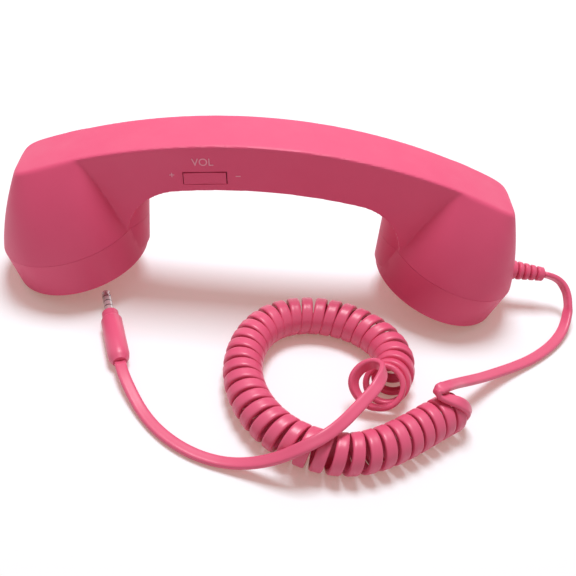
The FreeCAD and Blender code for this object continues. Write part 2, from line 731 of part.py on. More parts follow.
def tube(path, radius, label):
    start = path.Edges[0]
    origin = start.valueAt(start.FirstParameter)
    direction = start.tangentAt(start.FirstParameter)
    profile = Part.Wire([Part.makeCircle(radius, origin, direction)])
    solid = path.makePipeShell([profile], True, False)
    expected = math.pi * radius ** 2 * path.Length
    share = round(solid.Volume / expected, 4)
    print(label, "length", round(path.Length, 1), "volume / (section x length)", share)
    return solid


def axis_row(position):
    """Values of the coil's axis table on a smooth line through its rows, and the heading there."""
    index = min(max(int(position), 1), len(coil_axis) - 3)
    t = position - index
    values = []
    slopes = []
    for a, b, c, d in zip(*coil_axis[index - 1:index + 3]):
        square = 2 * a - 5 * b + 4 * c - d
        cube = 3 * b - a - 3 * c + d
        values.append((2 * b + (c - a) * t + square * t ** 2 + cube * t ** 3) / 2)
        slopes.append((c - a + 2 * square * t + 3 * cube * t ** 2) / 2)
    return values, math.atan2(slopes[1], slopes[0])


def coil_reach():
    """Positions along the axis table with the share of the curls that lies before each."""
    steps = 100 * (len(coil_axis) - 3)
    places = [1 + index / 100 for index in range(steps + 1)]
    rows = [axis_row(place)[0] for place in places]
    reach = [0.0]
    length = 0.0
    for a, b in zip(rows, rows[1:]):
        step = (Vector(*b[:3]) - Vector(*a[:3])).Length
        length += step
        reach.append(reach[-1] + step * (a[6] + b[6]) / 2)
    return places, [value / reach[-1] for value in reach], length


def curl_point(turns, places, reach):
    """Point of the left-handed even curls after so many turns."""
    share = min(max(turns / curl_count, 0.0), 1.0)
    index = min(bisect.bisect_right(reach, share), len(reach) - 1)
    low = reach[index - 1]
    part = (share - low) / (reach[index] - low)
    place = places[index - 1] + (places[index] - places[index - 1]) * part
    (x, y, z, radius, turned, leant, close), heading = axis_row(place)
    heading += math.radians(turned)
    lean = math.radians(leant)
    side = Vector(-math.sin(heading), math.cos(heading), 0)
    up = Vector(-math.sin(lean) * math.cos(heading), -math.sin(lean) * math.sin(heading), math.cos(lean))
    angle = 2 * math.pi * turns
    return Vector(x, y, z) + side * (radius * math.sin(angle)) + up * (radius * math.cos(angle))


def curl_points():
    """Quarter-turn points of the even curls, each with its direction."""
    places, reach, length = coil_reach()
    quarters = int((last_curl - first_curl) * 4)
    points = []
    for index in range(quarters + 1):
        turns = first_curl + index / 4
        near = curl_point(turns - 0.01, places, reach)
        far = curl_point(turns + 0.01, places, reach)
        points.append((curl_point(turns, places, reach), (far - near).normalize()))
    print("coil axis length", round(length, 1), "pitch", round(length / curl_count, 2))
    return points


def arc_edge(start, direction, end):
    chord = end - start
    along = chord.normalize()
    length = (end - start).Length
    angle = direction.getAngle(along)
    if angle < 1e-4:
        return Part.LineSegment(start, end).toShape()
    bulge = (direction - along * direction.dot(along)).normalize()
    middle = (start + end) * 0.5 + bulge * (length / 2 * math.tan(angle / 2))
    return Part.Arc(start, middle, end).toShape()


def biarc_edges(points, directions):
    """Two tangent arcs between each pair of points; a missing direction comes from the neighbours."""
    directions = list(directions)
    for index in range(1, len(points) - 1):
        if directions[index] is None:
            directions[index] = (points[index + 1] - points[index - 1]).normalize()
    edges = []
    for index in range(len(points) - 1):
        p, q = points[index], points[index + 1]
        t, s = directions[index], directions[index + 1]
        v = q - p
        blend = t + s
        factor = 2 * (1 - t.dot(s))
        reach = v.dot(v) / (2 * v.dot(blend)) if factor < 1e-9 else (
            (-v.dot(blend) + math.sqrt(v.dot(blend) ** 2 + factor * v.dot(v))) / factor)
        joint = (p + q + (t - s) * reach) * 0.5
        middle_direction = (q - p - (t + s) * reach).normalize()
        edges.append(arc_edge(p, t, joint))
        edges.append(arc_edge(joint, middle_direction, q))
    return edges


def least_gap(path, radius, label):
    """Least distance between stretches of the path that aren't neighbours, less the tube."""
    points = path.discretize(Distance=1.2)
    skip = int(5 * 2 * radius / 1.2)
    cells = {}
    size = 4 * radius + 1.2
    least = 1e9
    for index, point in enumerate(points):
        key = (int(point.x // size), int(point.y // size), int(point.z // size))
        for dx in (-1, 0, 1):
            for dy in (-1, 0, 1):
                for dz in (-1, 0, 1):
                    for other in cells.get((key[0] + dx, key[1] + dy, key[2] + dz), ()):
                        if index - other > skip:
                            least = min(least, (point - points[other]).Length)
        cells.setdefault(key, []).append(index)
    print(label, "least gap to itself", round(least - 2 * radius, 2))


def make_cord():
    """Lead from the handset, coiled piece and lead to the plug, in that order along the cord."""
    exit_place = relief_place()
    plug_ahead = Vector(plug_direction[0], plug_direction[1], 0).normalize()
    plug_start = Vector(plug_rear[0], plug_rear[1], plug_axis_height)
    lead_points = [exit_place.multVec(Vector(0, 0, relief_length))] + [Vector(*p) for p in lead_route]
    tail_points = [Vector(*p) for p in tail_route] + [plug_start - plug_ahead * plug_lead_in, plug_start]
    lead = tube(rounded_path(lead_points, "cord_lead_handset"), cord_tube_radius, "cord_lead_handset")
    tail = tube(rounded_path(tail_points, "cord_lead_plug"), cord_tube_radius, "cord_lead_plug")
    straight = 2 * cord_tube_radius
    start_direction = (lead_points[-1] - lead_points[-2]).normalize()
    end_direction = (tail_points[1] - tail_points[0]).normalize()
    points = [lead_points[-1] + start_direction * straight]
    directions = [start_direction]
    for point in fold_points:
        points.append(Vector(*point))
        directions.append(None)
    curls = curl_points()
    for place, direction in curls:
        points.append(place)
        directions.append(direction)
    directions[-len(curls)] = None
    directions[-1] = None
    for point in last_loop_points:
        points.append(Vector(*point))
        directions.append(None)
    points.append(tail_points[0] - end_direction * straight)
    directions.append(end_direction)
    edges = [Part.LineSegment(lead_points[-1], points[0]).toShape()]
    edges += biarc_edges(points, directions)
    edges.append(Part.LineSegment(points[-1], tail_points[0]).toShape())
    path = Part.Wire(edges)
    least_gap(path, cord_tube_radius, "cord_curls")
    return lead, tube(path, cord_tube_radius, "cord_curls"), tail


def make_plug():
    ahead = Vector(plug_direction[0], plug_direction[1], 0).normalize()
    place = Placement(Vector(plug_rear[0], plug_rear[1], plug_axis_height), Rotation(Z_AXIS, ahead))
    body = revolved([
        (0, 0), (plug_rear_radius, 0), (plug_body_radius - 0.3, 2.2), (plug_body_radius, 4.0),
        (plug_body_radius, plug_body_length - plug_shoulder),
        (plug_collar_radius, plug_body_length), (0, plug_body_length),
    ])
    collar_end = plug_body_length + plug_collar_length
    core_length = sum(plug_pole_lengths) + 3 * plug_insulator_length + plug_tip_straight
    core = cylinder(plug_core_radius, plug_body_length - plug_core_inside, collar_end + core_length)
    collar = cylinder(plug_collar_radius - 0.15, plug_body_length, collar_end)
    collar = collar.cut(core)
    body = body.cut(core)
    shaft = []
    insulators = []
    low = collar_end
    for length in plug_pole_lengths:
        shaft.append(cylinder(plug_shaft_radius, low, low + length).cut(core))
        low += length
        insulators.append(cylinder(plug_shaft_radius, low, low + plug_insulator_length).cut(core))
        low += plug_insulator_length
    tip = revolved([
        (0, low), (plug_shaft_radius, low), (plug_shaft_radius, low + plug_tip_straight),
        (plug_tip_waist, low + plug_tip_straight + 0.9),
        (plug_shaft_radius - 0.1, low + plug_tip_straight + 1.7),
        (0.4, low + plug_tip_length), (0, low + plug_tip_length),
    ]).cut(core)
    pieces = [body, collar, shaft[0], shaft[1], shaft[2], group(insulators), core, tip]
    return [placed(piece, place) for piece in pieces]


def cup_points(side, points):
    """Points given along a cup's outward, sideways and upward directions, as places in the handset."""
    place = cup_place(side)
    return [place.multVec(Vector(side * u, v, w)) for u, v, w in points]


def wire_points(route):
    return [Vector(x, y, z + grip_height if z < 0 else z) for x, y, z in route]


def make_wires():
    """Wires from the cord, the microphone and the speaker to the ends of the main board."""
    inner = relief_place()
    low = -relief_inner_length - cord_tie_length
    tie = placed(cylinder(cord_tie_radius, low, -relief_inner_length), inner)
    right = board_centre[0] + board_size[0] / 2
    left = board_centre[0] - board_size[0] / 2
    level = board_bottom + board_size[2] / 2
    cord_points = [inner.multVec(Vector(0, 0, low)), inner.multVec(Vector(0, 0, low - wire_lead_in))]
    cord_points += wire_points(cord_wire_route) + [Vector(right, cord_wire_route[-1][1], level)]
    mic_points = cup_points(1, mic_wire_start) + wire_points(mic_wire_route)
    mic_points.append(Vector(right, mic_wire_route[-1][1], level))
    speaker_points = cup_points(-1, speaker_wire_start) + wire_points(speaker_wire_route)
    speaker_points.append(Vector(left, speaker_wire_route[-1][1], level))
    wires = [tie]
    routes = (("cord_wires", cord_points), ("mic_wires", mic_points), ("speaker_wires", speaker_points))
    for name, points in routes:
        wires.append(tube(rounded_path(points, name), wire_radius, name))
    return wires


NODES = {}


def add(name, shape):
    NODES[name] = shape


lower_shell, top_cover = make_shells()
relief = make_relief()
ear_cap = make_cap(-1, ear_hole_rings, ear_hole_radius, speaker_radius, gasket_thickness + ear_seat_rise)
ear_cap = placed(ear_cap, cup_place(-1))
mouth_cap = make_cap(1, mouth_hole_rings, mouth_hole_radius, mic_screen_radius, mouth_seat_height)
mouth_cap = placed(mouth_cap, cup_place(1))
relief_bore = placed(cylinder(relief_neck_radius + slip, -relief_inner_length, relief_length), relief_place())
relief_room = cylinder(relief_flange_radius + 0.4, -relief_inner_length - 1,
                       -relief_inner_length + relief_flange + 0.2)
relief_room = placed(relief_room, relief_place())
relief_pocket = placed(cylinder(relief_root_radius + slip, -relief_seat, relief_length), relief_place())
mouth_cap = largest(mouth_cap.cut(relief_bore).cut(relief_room).cut(relief_pocket))
add("top_cover", top_cover)
add("lower_shell", lower_shell)
add("ear_cap", ear_cap)
add("mouth_cap", mouth_cap)
for name, shape in zip(("ear_screen", "speaker_gasket", "speaker_frame", "speaker_cone", "speaker_magnet"),
                       make_speaker()):
    add(name, placed(shape, cup_place(-1)))
mic_screen, mic_boot, mic_capsule = make_microphone()
add("mouth_screen", placed(mic_screen, cup_place(1)))
add("mic_boot", placed(mic_boot, cup_place(1)))
add("mic_capsule", placed(mic_capsule, cup_place(1)))
add("ear_weight", make_weight(-1))
add("mouth_weight", make_weight(1))
add("shell_screws", make_shell_screws())
for name, shape in zip(("volume_rocker", "rocker_pin", "rocker_bracket", "key_board", "volume_switches"),
                       make_rocker()):
    add(name, shape)
add("answer_button", make_answer_button())
for name, shape in zip(("circuit_board", "answer_switch", "board_chips", "board_screws"), make_boards()):
    add(name, shape)
add("strain_relief", relief)
for name, shape in zip(("cord_lead_handset", "cord_curls", "cord_lead_plug"), make_cord()):
    add(name, shape)
for name, shape in zip(("cord_tie", "cord_wires", "mic_wires", "speaker_wires"), make_wires()):
    add(name, shape)
for name, shape in zip(("plug_body", "plug_collar", "plug_sleeve", "plug_ring_lower", "plug_ring_upper",
                        "plug_insulators", "plug_core", "plug_tip"), make_plug()):
    add(name, shape)

os.makedirs("parts", exist_ok=True)
for name, shape in NODES.items():
    valid = shape.isValid()
    box = shape.BoundBox
    print(name, len(shape.Solids), "valid" if valid else "NOT VALID", round(shape.Volume, 1),
          [round(v, 1) for v in (box.XMin, box.YMin, box.ZMin, box.XMax, box.YMax, box.ZMax)])
    shape.exportStep("parts/" + name + ".step")
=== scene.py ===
"""Looks of a curved retro handset with a curly flat cord and a small audio plug, in metres."""
import json
import math

import bmesh
import bpy
import numpy as np
from mathutils import Matrix, Vector


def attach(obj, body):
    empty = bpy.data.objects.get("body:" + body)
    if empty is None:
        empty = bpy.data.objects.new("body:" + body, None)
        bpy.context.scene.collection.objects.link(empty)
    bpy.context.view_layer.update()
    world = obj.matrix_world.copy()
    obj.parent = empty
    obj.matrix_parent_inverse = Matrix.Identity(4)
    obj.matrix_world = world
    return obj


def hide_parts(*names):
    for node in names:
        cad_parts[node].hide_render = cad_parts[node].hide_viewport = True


MM = 0.001

# Handle, in millimetres
grip_height = 71.0
top_radius = 229.0
arc_centre_z = grip_height - top_radius
grip_half_width = 12.2
grip_thickness = 18.8
handle_end = 79.0
seam_depth = 3.2
wall = 2.0
arch_radius = 22.0
corner_share = 0.9
top_edge_round = 1.0
under_edge_round = 0.6
crease_round = 0.3

# Cups: an upright rounded wall on the inner side, and a flare from the rim up to the handle's top
inner_wall_x = 58.3
inner_wall_radius = 12.0
inner_wall_top = 50.0
cup_tilt = 16.5
# Middle of the plane where a cap meets its cup
rim_centre = (77.2875, 22.4536)
rim_radius = 28.0
# Centre's x and z, tilt, half length, half width and power of the middle section
flare_mid = (80.4, 41.0, 18.8, 21.0, 21.2, 2.7)
flare_top_ends = (68.6, 94.2)
flare_top_power = 6.5
flare_overrun = 2.0
flare_slope_side = 0.42
flare_slope_end = 0.25
# How far along the flare a point is at first guess, and how far past its ends it may be
flare_shear = 0.32
flare_limits = (-0.6, 1.4)
flare_softness = 0.9

# Mesh of the form: its box, the size of a cell, and the passes that move its points onto the form
field_box = ((-112, -31, 4), (112, 31, 74))
field_step = 0.8
field_passes = 4
slope_step = 0.02
smallest_slope = 0.05

# Openings for the rocker and the answer button
rocker_angle = -6.4
rocker_below_top = 13.25
rocker_slot = (16.4, 5.4)
rocker_corner = 0.3
slot_reach = (-4, 4)
button_opening = (15.5, 8.5)
button_corner = 3.2
button_reach = (-3, 4)

# Raised marks: name, words, middle's x and z on the side, width, height and stroke's extra weight
mark_rise = 0.12
marks = (
    ("mark_volume", "VOL", -25.3, 63.15, 7.9, 3.0, -0.002),
    ("mark_more", "+", -36.26, 56.68, 1.8, 1.8, 0.0),
    ("mark_less", "\u2212", -11.94, 58.44, 1.8, 0.36, 0.0),
)

# Camera, as in the photograph
camera_place = (-8.25, -273.5, 219.7)
camera_forward = (0.05667, 0.77496, -0.62947)
camera_heading = 0.073
camera_roll = 0.123
camera_lens = 51.64
camera_shift = 0.0023

# Patterns of the materials: a slow drift of the colour, uneven gloss and a fine grain
drift_scale = 28.0
patch_scale = 90.0
patch_gloss = (-0.05, 0.06)
grain_strength = 0.6

# Stage: what the camera sees and what lights the object, in metres
floor_half = 6.0
shade_reach = (0.22, 0.5)
# Painted bounce light: near the object the floor glows warm for the camera, which tints its shadow pink as
# if lit by the handset. floor_seen is bluer so that the lit floor still looks white.
floor_seen = (0.72, 0.85, 0.90, 1)
floor_lit = (0.80, 0.79, 0.79, 1)
painted_bounce_tint = (1.0, 0.55, 0.42, 1)
glow_strength = 0.27
sky_tint = (1.0, 0.86, 0.82, 1)
sky_strength = 0.36
white = (1, 1, 1, 1)
lamp_place = (0.0, 0.18, 0.85)
lamp_power = 6.6
lamp_width = 0.32
lamp_colour = (0.95, 0.97, 1.0)

# Cord: flat, two cores side by side
cord_width = 4.3
cord_thickness = 2.2
cord_groove = 0.32
cord_groove_width = 0.55
cord_roundness = (0.62, 0.55)
towards_viewer = (-0.15, -0.65, 0.74)
line_resolution = 6
axis_resolution = 40
turning_rounds = 400
# Which way the flat cord faces along its line, in places counted by control points
first_bend_end = 4.2
lead_flat_start = 6
fold_offset = 3
fold_margins = (0.5, 1.5)
flip_margin = 3
fold_held_from = 4
coil_margins = (3, 4)
loop_end = 5.4
leaving_span = (7.6, 12)
tail_offset = 7
free_near_coil = (2, 5)
curl_count = 40
curl_steps = 12
first_curl = -0.25
last_curl = 39.5
relief_root = (104.0, 0.0, 16.9)
relief_tilt = 5.0
relief_length = 14.2
relief_seat = 1.2
relief_radii = (4.1, 2.9)
relief_ribs = 5
relief_groove_back = 0.45
# Half width and depth of a groove's rounded lips, and of the slot in it
relief_grooves = ((0.85, 0.42), (0.36, 1.5))
relief_groove_flank = 1.6
relief_edge = (0.35, 0.3)
relief_inner = ((4.4, -8.0), (4.4, -6.4), (3.1, -6.4), (3.1, -1.2))
relief_rows = 150
relief_around = 48
relief_end = (118.146, 0.0, 15.662)
plug_rear = (-49.4, -58.2, 4.1)

lead_route = (
    (124.2, 0.0, 14.9), (128.5, -3.3, 11.6), (129.5, -8.2, 8.0), (128.6, -13.2, 4.9), (126.2, -19.1, 2.7),
    (122.0, -25.3, 1.7), (116.2, -31.6, 1.5), (108.6, -38.0, 1.6), (100.4, -43.6, 2.4), (92.4, -49.2, 4.2),
    (84.6, -55.4, 7.0), (78.6, -60.2, 9.8), (73.6, -63.9, 11.9),
)
fold_points = (
    (69.2, -68.8, 15.6), (66.2, -72.3, 18.0), (63.6, -74.3, 18.9), (62.0, -75.4, 18.0), (63.2, -76.0, 16.5),
    (66.5, -76.9, 16.3), (70.6, -77.8, 15.9), (74.2, -77.4, 12.6), (75.2, -76.2, 8.0), (73.6, -73.2, 2.4),
    (69.8, -69.1, 2.8),
)
last_loop_points = (
    (39.6, -71.0, 5.0), (35.6, -68.8, 8.0), (34.2, -66.0, 11.8), (36.8, -63.2, 15.0), (40.8, -62.8, 17.6),
    (43.8, -65.4, 19.0), (43.9, -69.4, 19.6), (42.0, -74.0, 19.4), (39.8, -77.9, 19.0),
)
tail_route = (
    (37.2, -81.2, 18.5), (33.6, -85.8, 18.0), (28.8, -92.2, 17.8), (22.8, -98.2, 17.4), (15.4, -101.4, 14.6),
    (8.4, -101.9, 9.6), (0.6, -100.9, 4.9), (-8.0, -99.4, 2.1), (-17.0, -96.9, 1.5), (-25.4, -92.5, 1.5),
    (-32.8, -86.3, 1.5), (-38.6, -79.2, 1.7), (-43.2, -71.8, 2.8), (-47.93, -62.98, 4.1),
)
# Axis of the curls: x, y, height, radius, degrees turned, degrees leant back, closeness
coil_axis = (
    (73.0, -72.0, 7.7, 6.2, 0, 0, 1.0), (68.6, -75.4, 7.7, 6.2, 0, 0, 1.0),
    (64.6, -78.2, 7.7, 6.2, 0, 0, 1.0), (60.6, -81.2, 7.7, 6.2, 0, 0, 1.0),
    (56.2, -84.6, 7.7, 6.2, 0, 0, 1.0), (50.4, -88.9, 7.7, 6.2, 0, 0, 1.0),
    (42.8, -93.5, 7.7, 6.2, 0, 0, 1.0), (33.6, -97.1, 7.7, 6.2, 0, 0, 1.0),
    (22.2, -96.7, 7.7, 6.2, 0, 0, 1.0), (9.6, -90.8, 7.7, 6.2, 0, 0, 1.0),
    (0.2, -80.0, 7.7, 6.2, 0, 0, 1.0), (-4.8, -66.6, 7.7, 6.2, 0, 0, 1.0),
    (-4.9, -53.2, 7.7, 6.2, 0, 0, 1.0), (-0.4, -40.1, 7.7, 6.2, 0, 0, 1.0),
    (8.0, -31.6, 7.7, 6.2, 0, 0, 1.0), (19.8, -28.1, 7.7, 6.2, 0, 0, 1.0),
    (31.8, -29.4, 7.7, 6.2, 0, 0, 1.0), (42.0, -34.4, 7.7, 6.2, 0, 0, 0.97),
    (49.2, -42.0, 7.7, 6.2, 0, 0, 0.90), (52.0, -50.4, 7.7, 6.2, -4, 5, 0.88),
    (51.0, -57.4, 7.6, 6.4, 0, 17, 0.90), (48.4, -62.2, 7.5, 6.9, 12, 31, 1.0),
    (45.7, -65.4, 8.2, 7.5, 24, 40, 1.0), (43.4, -67.4, 11.0, 8.0, 30, 41, 1.0),
    (41.6, -70.2, 13.5, 8.0, 30, 41, 1.0),
)

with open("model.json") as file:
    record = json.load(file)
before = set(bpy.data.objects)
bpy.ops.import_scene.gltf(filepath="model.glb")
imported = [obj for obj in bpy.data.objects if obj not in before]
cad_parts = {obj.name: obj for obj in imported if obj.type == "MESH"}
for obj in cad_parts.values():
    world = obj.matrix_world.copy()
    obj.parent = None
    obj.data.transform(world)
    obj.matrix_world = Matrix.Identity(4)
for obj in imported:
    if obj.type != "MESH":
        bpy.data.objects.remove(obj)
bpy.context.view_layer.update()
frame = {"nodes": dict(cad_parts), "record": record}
NODES = frame["nodes"]


def srgb(code):
    """Linear colour of a six-digit web colour."""
    parts = [int(code[i:i + 2], 16) / 255 for i in (0, 2, 4)]
    return tuple(c / 12.92 if c <= 0.04045 else ((c + 0.055) / 1.055) ** 2.4 for c in parts) + (1.0,)


# Camera

def make_camera():
    """The photograph's viewpoint."""
    forward = Vector(camera_forward).normalized()
    level = Vector((math.cos(camera_heading), -math.sin(camera_heading), 0)).normalized()
    level = (level - forward * level.dot(forward)).normalized()
    rise = level.cross(forward)
    right = level * math.cos(camera_roll) + rise * math.sin(camera_roll)
    up = rise * math.cos(camera_roll) - level * math.sin(camera_roll)
    data = bpy.data.cameras.new("camera")
    data.sensor_width = 36.0
    data.lens = camera_lens
    data.shift_x = camera_shift
    data.clip_start = 0.02
    data.clip_end = 20
    camera = bpy.data.objects.new("camera", data)
    turn = Matrix((right, up, -forward)).transposed().to_4x4()
    camera.matrix_world = Matrix.Translation(Vector(camera_place) * MM) @ turn
    bpy.context.scene.collection.objects.link(camera)
    bpy.context.scene.camera = camera


make_camera()


# Curves and meshes

def spline_points(rows, resolution):
    """Points of a smooth line that has these rows as its control points."""
    curve = bpy.data.curves.new("route", "CURVE")
    curve.dimensions = "3D"
    curve.resolution_u = resolution
    spline = curve.splines.new("NURBS")
    spline.points.add(len(rows) - 1)
    for point, row in zip(spline.points, rows):
        point.co = (row[0], row[1], row[2], 1)
    spline.order_u = 3
    spline.use_endpoint_u = True
    spline.resolution_u = resolution
    holder = bpy.data.objects.new("route", curve)
    mesh = bpy.data.meshes.new_from_object(holder)
    found = np.empty(len(mesh.vertices) * 3)
    mesh.vertices.foreach_get("co", found)
    bpy.data.meshes.remove(mesh)
    bpy.data.objects.remove(holder)
    bpy.data.curves.remove(curve)
    return found.reshape(-1, 3)


def mesh_object(name, points, faces, smooth=True):
    """A new piece in the scene from its points and faces."""
    mesh = bpy.data.meshes.new(name)
    mesh.from_pydata([tuple(p) for p in points], [], [tuple(f) for f in faces])
    mesh.validate()
    mesh.update()
    if smooth:
        mesh.polygons.foreach_set("use_smooth", [True] * len(mesh.polygons))
    piece = bpy.data.objects.new(name, mesh)
    bpy.context.scene.collection.objects.link(piece)
    return piece


def closed_tube(name, rings, smooth=True):
    """Mesh through rings that have as many points each, closed at both ends."""
    count = len(rings[0])
    points = [point for ring in rings for point in ring]
    faces = []
    for row in range(len(rings) - 1):
        for k in range(count):
            a = row * count + k
            b = row * count + (k + 1) % count
            faces.append((a, b, b + count, a + count))
    faces.append(tuple(range(count))[::-1])
    faces.append(tuple(range(len(points) - count, len(points))))
    return mesh_object(name, points, faces, smooth)


def unit(rows):
    """Rows scaled to length one."""
    return rows / np.maximum(np.linalg.norm(rows, axis=-1, keepdims=True), 1e-12)


def ease(t):
    """Goes from 0 to 1 with a level start and end."""
    t = np.clip(t, 0, 1)
    return t * t * (3 - 2 * t)


# Materials

def material(name):
    """A new material, with its nodes, links and shader."""
    made = bpy.data.materials.new(name)
    made.use_nodes = True
    nodes = made.node_tree.nodes
    shader = nodes["Principled BSDF"]
    return made, nodes, made.node_tree.links, shader


def noise(nodes, links, coordinates, scale, detail=3.0, rough=0.55):
    """A soft random pattern at the coordinates."""
    texture = nodes.new("ShaderNodeTexNoise")
    texture.inputs["Scale"].default_value = scale
    texture.inputs["Detail"].default_value = detail
    texture.inputs["Roughness"].default_value = rough
    links.new(coordinates, texture.inputs["Vector"])
    return texture.outputs["Fac"]


def spread(nodes, links, value, low, high, start=0.3, end=0.7):
    """The value from start to end becomes low to high."""
    ramp = nodes.new("ShaderNodeMapRange")
    ramp.inputs["From Min"].default_value = start
    ramp.inputs["From Max"].default_value = end
    ramp.inputs["To Min"].default_value = low
    ramp.inputs["To Max"].default_value = high
    links.new(value, ramp.inputs["Value"])
    return ramp.outputs["Result"]


def mixed(nodes, links, value, first, second):
    """The first colour where the value is 0, the second where it is 1."""
    mix = nodes.new("ShaderNodeMix")
    mix.data_type = "RGBA"
    mix.inputs["A"].default_value = first
    mix.inputs["B"].default_value = second
    links.new(value, mix.inputs["Factor"])
    return mix.outputs["Result"]


def bumped(nodes, links, value, distance, strength):
    """A normal that follows the value as a height."""
    bump = nodes.new("ShaderNodeBump")
    bump.inputs["Distance"].default_value = distance
    bump.inputs["Strength"].default_value = strength
    links.new(value, bump.inputs["Height"])
    return bump.outputs["Normal"]


def moulded(name, light, dark, roughness, grain=0.00004, grain_scale=2600.0, gloss=0.45, metal=0.0):
    """Moulded plastic, rubber or plain metal: slow colour drift, uneven gloss and a fine grain."""
    made, nodes, links, shader = material(name)
    place = nodes.new("ShaderNodeTexCoord").outputs["Object"]
    drift = noise(nodes, links, place, drift_scale)
    fine = noise(nodes, links, place, grain_scale, 2.0)
    links.new(mixed(nodes, links, spread(nodes, links, drift, 0, 1), srgb(light), srgb(dark)),
              shader.inputs["Base Color"])
    patches = noise(nodes, links, place, patch_scale, 4.0)
    low, high = (roughness + change for change in patch_gloss)
    links.new(spread(nodes, links, patches, low, high), shader.inputs["Roughness"])
    links.new(bumped(nodes, links, fine, grain, grain_strength), shader.inputs["Normal"])
    shader.inputs["Specular IOR Level"].default_value = gloss
    shader.inputs["Metallic"].default_value = metal
    return made


MATERIALS = {
    "body_top": moulded("soft_touch_pink", "e6557d", "e35079", 0.52),
    "cord": moulded("cord_pink", "e65f83", "e2597d", 0.36, grain=0.00001, gloss=0.5),
    "dark_plastic": moulded("dark_plastic", "1b1b1d", "232325", 0.45),
    "screen_cloth": moulded("screen_cloth", "1a1719", "262225", 0.9, grain=0.00012, grain_scale=1500.0),
    "foam": moulded("foam", "141414", "1d1d1d", 0.95, grain=0.0002, grain_scale=1200.0),
    "steel": moulded("steel", "a5a5aa", "9a9aa0", 0.34, grain=0.00001, metal=1.0),
    "ballast": moulded("ballast", "5a5a5c", "4c4c4e", 0.6, grain=0.00015, grain_scale=900.0, metal=1.0),
    "cone": moulded("cone", "cfc6ad", "c7bda4", 0.7),
    "board": moulded("board", "1d5b2b", "1a5227", 0.3, gloss=0.6),
    "contact": moulded("contact", "ece6e6", "e0dada", 0.26, grain=0.000003, metal=0.5),
    "insulator": moulded("insulator", "0e0e0f", "161617", 0.4),
    "wire": moulded("wire", "b5222a", "a51d25", 0.4),
    "brass": moulded("brass", "c8a45a", "bb9850", 0.3, metal=1.0),
}
MATERIALS["body_side"] = MATERIALS["body_top"]
MATERIALS["key"] = MATERIALS["body_top"]


def smooth_by_angle(limit=32.0):
    """Node group that joins a CAD mesh's corners and shades it smooth between its sharp edges."""
    group = bpy.data.node_groups.new("smooth_by_angle", "GeometryNodeTree")
    group.interface.new_socket("Geometry", in_out="INPUT", socket_type="NodeSocketGeometry")
    group.interface.new_socket("Geometry", in_out="OUTPUT", socket_type="NodeSocketGeometry")
    nodes, links = group.nodes, group.links
    start = nodes.new("NodeGroupInput")
    end = nodes.new("NodeGroupOutput")
    weld = nodes.new("GeometryNodeMergeByDistance")
    weld.inputs["Distance"].default_value = 1e-6
    all_smooth = nodes.new("GeometryNodeSetShadeSmooth")
    sharp = nodes.new("GeometryNodeSetShadeSmooth")
    sharp.domain = "EDGE"
    sharp.inputs["Shade Smooth"].default_value = False
    angle = nodes.new("GeometryNodeInputMeshEdgeAngle")
    over = nodes.new("FunctionNodeCompare")
    over.operation = "GREATER_THAN"
    over.inputs["B"].default_value = math.radians(limit)
    links.new(start.outputs[0], weld.inputs["Geometry"])
    links.new(weld.outputs["Geometry"], all_smooth.inputs["Geometry"])
    links.new(all_smooth.outputs["Geometry"], sharp.inputs["Geometry"])
    links.new(angle.outputs["Unsigned Angle"], over.inputs["A"])
    links.new(over.outputs["Result"], sharp.inputs["Selection"])
    links.new(sharp.outputs["Geometry"], end.inputs[0])
    return group


SMOOTH = smooth_by_angle()


def coat(piece, slot_name):
    """Gives a piece its slot's material and the shared shading."""
    piece.data.materials.clear()
    piece.data.materials.append(MATERIALS[slot_name])
    shade = piece.modifiers.new("shade", "NODES")
    shade.node_group = SMOOTH


# Cord

def coil_points():
    """Control points of the curls: left-handed turns about the smooth line through the axis table."""
    rows = np.array(coil_axis, float)
    axis = spline_points(rows[:, :3], axis_resolution)
    shape = spline_points(rows[:, 3:6], axis_resolution)
    close = spline_points(rows[:, 6:] * np.array([1, 0, 0]), axis_resolution)[:, 0]
    at = np.linspace(0, len(rows) - 2, len(axis))
    inside = (at >= 0.5) & (at <= len(rows) - 2.5)
    axis, shape, close = axis[inside], shape[inside], close[inside]
    heading = np.unwrap(np.arctan2(np.gradient(axis[:, 1]), np.gradient(axis[:, 0])))
    steps = np.linalg.norm(np.diff(axis, axis=0), axis=1) * (close[1:] + close[:-1]) / 2
    reach = np.concatenate([[0], np.cumsum(steps)])
    reach = reach / reach[-1] * curl_count
    turns = np.arange(first_curl, last_curl + 1e-6, 1 / curl_steps)
    held = np.clip(turns, 0, curl_count)
    place = np.column_stack([np.interp(held, reach, axis[:, i]) for i in range(3)])
    radius, turned, leant = (np.interp(held, reach, shape[:, i]) for i in range(3))
    way = np.interp(held, reach, heading) + np.radians(turned)
    lean = np.radians(leant)
    side = np.column_stack([-np.sin(way), np.cos(way), way * 0])
    up = np.column_stack([-np.sin(lean) * np.cos(way), -np.sin(lean) * np.sin(way), np.cos(lean)])
    angle = 2 * math.pi * turns
    # The smooth line runs inside its control points, so they lie a little further out
    swell = radius / (0.75 + 0.25 * math.cos(2 * math.pi / curl_steps))
    points = place + side * (swell * np.sin(angle))[:, None] + up * (swell * np.cos(angle))[:, None]
    return points, place


def cord_section(points=22):
    """Outline of the flat cord across its width and thickness: round edges, a groove along each face."""
    outline = []
    for index in range(points):
        angle = 2 * math.pi * index / points
        c, s = math.cos(angle), math.sin(angle)
        across = cord_width / 2 * math.copysign(abs(c) ** cord_roundness[0], c)
        through = cord_thickness / 2 * math.copysign(abs(s) ** cord_roundness[1], s)
        through *= 1 - 2 * cord_groove / cord_thickness * math.exp(-(across / cord_groove_width) ** 2)
        outline.append((across, through))
    return outline


